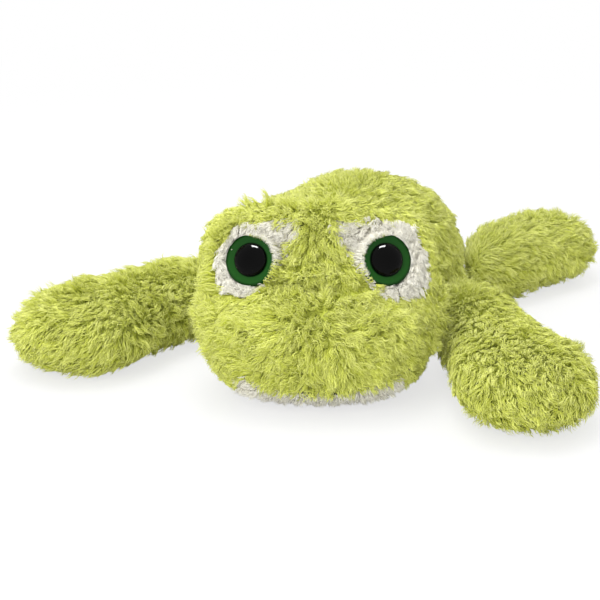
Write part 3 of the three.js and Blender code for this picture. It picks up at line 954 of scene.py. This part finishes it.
def pushed_from_eyes(spines):
    """Strands part round each disc."""
    furthest_behind = -14 * mm
    for side, axes in eye_frames.items():
        local, radius = eye_places(spines, side)
        outward, share = beside_disc(local, radius, side)
        least = least_radius(local, share)
        near = (radius < least) & (local[..., 2] > furthest_behind)
        moved = local.copy()
        moved[..., :2] = np.where(near[..., None], outward * least[..., None], local[..., :2])
        matrix = np.array(axes)
        spines = moved @ matrix[:3, :3].T + matrix[:3, 3]
    return spines


def off_the_eyes(spines):
    """Which strands don't cross a disc between two of their points."""
    kept = np.ones(len(spines), bool)
    between = (spines[:, :-1] + spines[:, 1:]) / 2
    overlap, behind_disc = 0.5 * mm, -3 * mm
    for side in eye_frames:
        local, radius = eye_places(between, side)
        _, share = beside_disc(local, radius, side)
        least = least_radius(local, share)
        crossing = (radius < least - overlap) & (local[..., 2] > behind_disc)
        kept &= ~crossing.any(axis=1)
    return kept


def strand_roots(body, chosen, count, hidden_by):
    """Roots of strands, without those under a disc or deep inside another body's form."""
    roots, facing = roots_on(body, chosen, count)
    kept = clear_of_eyes(roots) if body == "head" else np.ones(count, bool)
    for other in hidden_by:
        kept &= depth_inside(roots, other) < deepest_root
    return roots[kept], facing[kept]


def grown_locks(body, chosen, area, flow, style):
    """The middle strand of each lock: its root, lean, length and spine."""
    count = max(1, int(area / style["lock_area"]))
    roots, facing = roots_on(body, chosen, count)
    lean, length = flow(roots, facing)
    lean = along_surface(lean, facing)
    lean += along_surface(random_unit(count), facing) * style["lock_spread"]
    length = length * style["length"] * seed.uniform(0.75, 1.2, count)
    roots = roots - facing * pile_depth
    return roots, lean, length, grown(roots, facing, lean, length, style)


def curled(spines, facing, lock, locks, style):
    """Strands curl round their spines, and those of one lock do so nearly together."""
    count = len(spines)
    share = np.linspace(0, 1, style["rows"])[None, :, None]
    along = unit(np.gradient(spines, axis=1))
    across, up = side_vectors(along, np.broadcast_to(facing[:, None], along.shape) + 1e-3)
    turns = style["turns"] * seed.uniform(0.75, 1.25, locks)[lock]
    phase = seed.uniform(0, 2 * math.pi, locks)[lock]
    phase = phase + seed.normal(0, style["phase_spread"], count)
    swing = style["curl"] * seed.uniform(0.5, 1.2, count)
    angle = (turns[:, None] * share[..., 0] * 2 * math.pi + phase[:, None])[..., None]
    wave = across * np.cos(angle) + 0.7 * up * np.sin(angle)
    return spines + wave * swing[:, None, None] * np.minimum(1, share * 2.2)


def pile_of(body, nodes, density, flow, style, colour, name, hidden_by=()):
    """Pile of some of a body's cloth nodes, with density strands per square millimetre, in
    pieces of at most triangles_per_piece."""
    points, triangles, _ = forms[body]
    chosen = np.isin(triangle_node[body], [cloth_nodes[body].index(node) for node in nodes])
    area = triangle_areas(points, triangles[chosen]).sum()

    thinning = 1.0
    wanted = int(area * density / mm ** 2 * thinning)
    roots, facing = strand_roots(body, chosen, wanted, hidden_by)
    lock_roots, lock_lean, lock_length, lock_spines = grown_locks(body, chosen, area, flow, style)
    roots = roots - facing * pile_depth
    lock, locks = nearest_centre(roots, lock_roots), len(lock_roots)
    lean, length = flow(roots, facing)
    own, shared = 0.35, 0.65
    lean = own * along_surface(lean, facing) + shared * along_surface(lock_lean[lock], facing)
    lean += along_surface(random_unit(len(roots)), facing) * style["strand_spread"]
    length = np.minimum(lock_length[lock], length * style["length"] * 1.2)
    length = length * seed.uniform(0.8, 1.12, len(roots))
    spines = grown(roots, facing, lean, length, style)
    share = np.linspace(0, 1, style["rows"])[None, :, None]
    gathered = style["gather"] * share ** 1.3
    spines = spines * (1 - gathered) + lock_spines[lock] * gathered
    spines = curled(spines, facing, lock, locks, style)
    if body == "head":
        spines = pushed_from_eyes(hooked_over_rims(spines))
        kept = off_the_eyes(spines)
        spines, roots, lock = spines[kept], roots[kept], lock[kept]
    spines[..., 2] = pressed_on_floor(spines[..., 2])
    count = len(roots)
    girth = style["girth"] * seed.uniform(0.8, 1.2, count)[:, None]
    girth = girth * (1 - 0.7 * share[..., 0] ** 3) / (thinning ** 0.4)
    shade = 0.5 + seed.normal(0, 0.12, locks)[lock] + seed.normal(0, 0.3, count)
    shade = np.clip(shade, 0, 1)
    order = np.argsort(roots[:, 0] + 0.35 * roots[:, 1])
    strand_triangles = 2 * strand_sides * (style["rows"] - 2)
    shares = math.ceil(count * strand_triangles / triangles_per_piece)
    for number, part in enumerate(np.array_split(order, shares)):
        strands = spines[part], girth[part], shade[part]
        piece = strand_mesh(f"{name}_{number + 1}", *strands, yarns[colour])
        fasten(piece, body)


def yarn_paint(root_shades, tip_shades, rise):
    """Yarn of a shade of its own between two, which changes from its root to its tip."""
    def paint(start):
        shade, height = uv_part(start, "X"), uv_part(start, "Y")
        return (height ** rise).mixed(shade.mixed(*root_shades), shade.mixed(*tip_shades))
    return paint


lime_paint = yarn_paint(
    root_shades=((0.520, 0.570, 0.050, 1), (0.710, 0.760, 0.110, 1)),
    tip_shades=((0.640, 0.690, 0.090, 1), (0.960, 0.985, 0.340, 1)), rise=0.9)
cream_paint = yarn_paint(
    root_shades=((0.920, 0.880, 0.760, 1), (0.970, 0.940, 0.840, 1)),
    tip_shades=((0.930, 0.905, 0.800, 1), (0.985, 0.970, 0.880, 1)), rise=0.8)
yarn_sheen = {"Specular_IOR_Level": 0.15, "Sheen_Weight": 0.1}
yarns = {
    "lime": finish_for("lime_yarn", lime_paint, 0.7, **yarn_sheen),
    "cream": finish_for("cream_yarn", cream_paint, 0.7, **yarn_sheen),
}

# How each kind of pile grows: lengths and girths, how many points a strand has, how far the
# leans of locks and of strands spread, how much a lock's tips gather and how they curl
shaggy = {
    "length": 9.2 * mm, "rows": 7, "lock_area": 6 * mm ** 2, "lock_spread": 1.3,
    "strand_spread": 0.22, "gather": 0.15, "turns": 1.5, "phase_spread": 0.3, "curl": 0.65 * mm,
    "girth": 0.18 * mm, "lying": 0.45,
}
tousled = dict(
    shaggy, length=9.0 * mm, rows=8, lock_area=4 * mm ** 2, lock_spread=1.1, turns=2.2, gather=0.1,
    girth=0.205 * mm, lying=0.75)
soft = dict(shaggy, length=8.0 * mm, rows=6, girth=0.20 * mm, gather=0.22)
curly = dict(
    shaggy, length=5.4 * mm, rows=8, lock_area=3 * mm ** 2, lock_spread=0.9, strand_spread=0.25,
    gather=0.1, turns=1.7, curl=0.55 * mm, girth=0.17 * mm)
short = dict(
    shaggy, length=4.4 * mm, rows=5, lock_area=8 * mm ** 2, lock_spread=0.5, strand_spread=0.4,
    gather=0.2, turns=0.6, phase_spread=0.9, curl=0.3 * mm, girth=0.25 * mm)
nose = np.array(face + Vector((0, -28, 16)) * mm)


# Flows: which way the pile leans at points of a form, and how long it is there as a share of
# its style's length. right, back and up are mm from the nose
def muzzle_flow(points, normals):
    """Muzzle and bridge fur is combed down and outward from a parting. It is short on the
    bridge, over the lids, at the lips and in the crease under the nose."""
    right, _, up = (points - nose).T / mm
    above_mouth = points[:, 2] - mouth_height(points)
    bridge = ramp(up, -3, 7)
    lip = 1 - ramp(above_mouth, 0, 8 * mm)
    below_lip = ramp(-above_mouth, 0, 3 * mm)
    above_tip = ramp(up, -22, -12)
    lid = ramp(np.abs(right), 12, 20) * ramp(up, -14, -6)
    crease = groove(points[:, 2] / mm - crease_height(right), 2) * (np.abs(right) < crease_reach)
    muzzle_outward = np.tanh(right / 24) * (1.1 + 0.5 * above_tip) * (1 - bridge)
    outward = muzzle_outward + np.tanh(right / 8) * 0.75 * bridge
    down = -0.9 + 0.5 * np.abs(outward) - 0.8 * lid
    lean = np.stack([outward, np.full(len(right), 0.15), down], 1)
    tousle = 0.6 + 0.35 * above_tip - 0.6 * lid - 0.6 * bridge
    lean = lean + swirl(points, 6 * mm) * tousle[:, None]
    length = 1 - 0.12 * bridge - 0.38 * lip - 0.2 * groove(right, 1.5) - 0.2 * lid
    length = length - 0.3 * below_lip - 0.45 * crease
    return lean * (1.9 - 0.7 * lip[:, None]), np.maximum(length, 0.4)


def crown_flow(points, normals):
    """The brow hangs forward over the patches, the crown lies back and the cheeks hang down."""
    right, back, up = (points - nose).T / mm
    brow = ramp(up, 12, 20) * ramp(-back, -55, -47)
    side = ramp(np.abs(right), 28, 44) * (1 - brow)
    down = 0.2 - 0.9 * side - 0.7 * brow
    lean = np.stack([np.tanh(right / 25) * 0.7, 0.9 - 1.3 * brow, down], 1)
    lean = lean + swirl(points, 8 * mm) * 0.6
    return lean * 1.5, 0.9 + 0.1 * brow + 0.1 * side


def patch_flow(points, normals):
    """Patch fur is short, hangs down and turns every way. Beside a disc it grows over the rim."""
    right = points[:, 0] - nose[0]
    lean = np.stack([np.sign(right) * 0.4, np.zeros(len(right)), np.full(len(right), -0.9)], 1)
    lean = (lean + swirl(points, 6 * mm) * 0.7) * 1.6
    for side, axes in eye_frames.items():
        local, radius = eye_places(points, side)
        outward, share = beside_disc(local, radius, side)
        over = share * groove(radius - iris_radius - 2 * mm, 2.4 * mm)
        lean = lean - outward @ np.array(axes)[:3, :2].T * over[:, None]
    return lean, np.ones(len(right))


def chin_flow(points, normals):
    """Jaw fur lies back from the nose and is longer at its front edge."""
    back = unit(points - nose) * (1, 1, 0)
    front = ramp(nose[1] - points[:, 1], -4 * mm, 6 * mm)
    return (back + swirl(points, 9 * mm) * 0.4) * 2.0, 1 + 0.6 * front


def away_from(source, droop, seam_height):
    """Flow that lies away from a source, hangs a little, swirls slowly and is pulled in at
    the seam between the upper and lower panel."""
    def flow(points, normals):
        lean = unit(points - np.array(source)) - np.array([0, 0, droop])
        length = 1 - 0.4 * groove(points[:, 2] - seam_height, 1.6 * mm)
        return (lean + swirl(points, 9 * mm) * 0.6) * 1.9, length
    return flow


trunk_seam_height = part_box("belly_panel")[1][2]
limb_seam_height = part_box("front_left_sole")[1][2]
muzzle_nodes = ["muzzle_cover_left", "muzzle_cover_right"]
crown_nodes = ["crown_cover", "head_filling"]
patch_nodes = ["eye_patch_left", "eye_patch_right"]
pile_of("head", muzzle_nodes, 2.8, muzzle_flow, tousled, "lime", "muzzle_pile")
pile_of("head", crown_nodes, 2.0, crown_flow, shaggy, "lime", "crown_pile", ("torso",))
pile_of("head", patch_nodes, 6.6, patch_flow, curly, "cream", "eye_patch_pile")
pile_of("head", ["chin_panel"], 1.4, chin_flow, short, "cream", "chin_pile", ("torso",))

trunk_flow = away_from(neck + Vector((0, 0, 30)) * mm, 0.5, trunk_seam_height)
trunk_nodes = ["back_cover", "torso_filling"]
trunk_style = dict(soft, length=7.2 * mm)
pile_of("torso", trunk_nodes, 1.5, trunk_flow, trunk_style, "lime", "back_pile", ("head",))
pile_of("torso", ["belly_panel"], 0.7, trunk_flow, short, "cream", "belly_pile", ("head",))

for limb in limb_names:
    body = f"{limb}_limb"
    limb_flow = away_from(joint_places[f"{limb}_lift"], 0.3, limb_seam_height)
    upper, lower = [f"{limb}_cover", f"{limb}_filling"], [f"{limb}_sole"]
    pile_of(body, upper, 1.6, limb_flow, soft, "lime", f"{limb}_pile", ("torso",))
    pile_of(body, lower, 0.9, limb_flow, soft, "lime", f"{limb}_sole_pile", ("torso",))
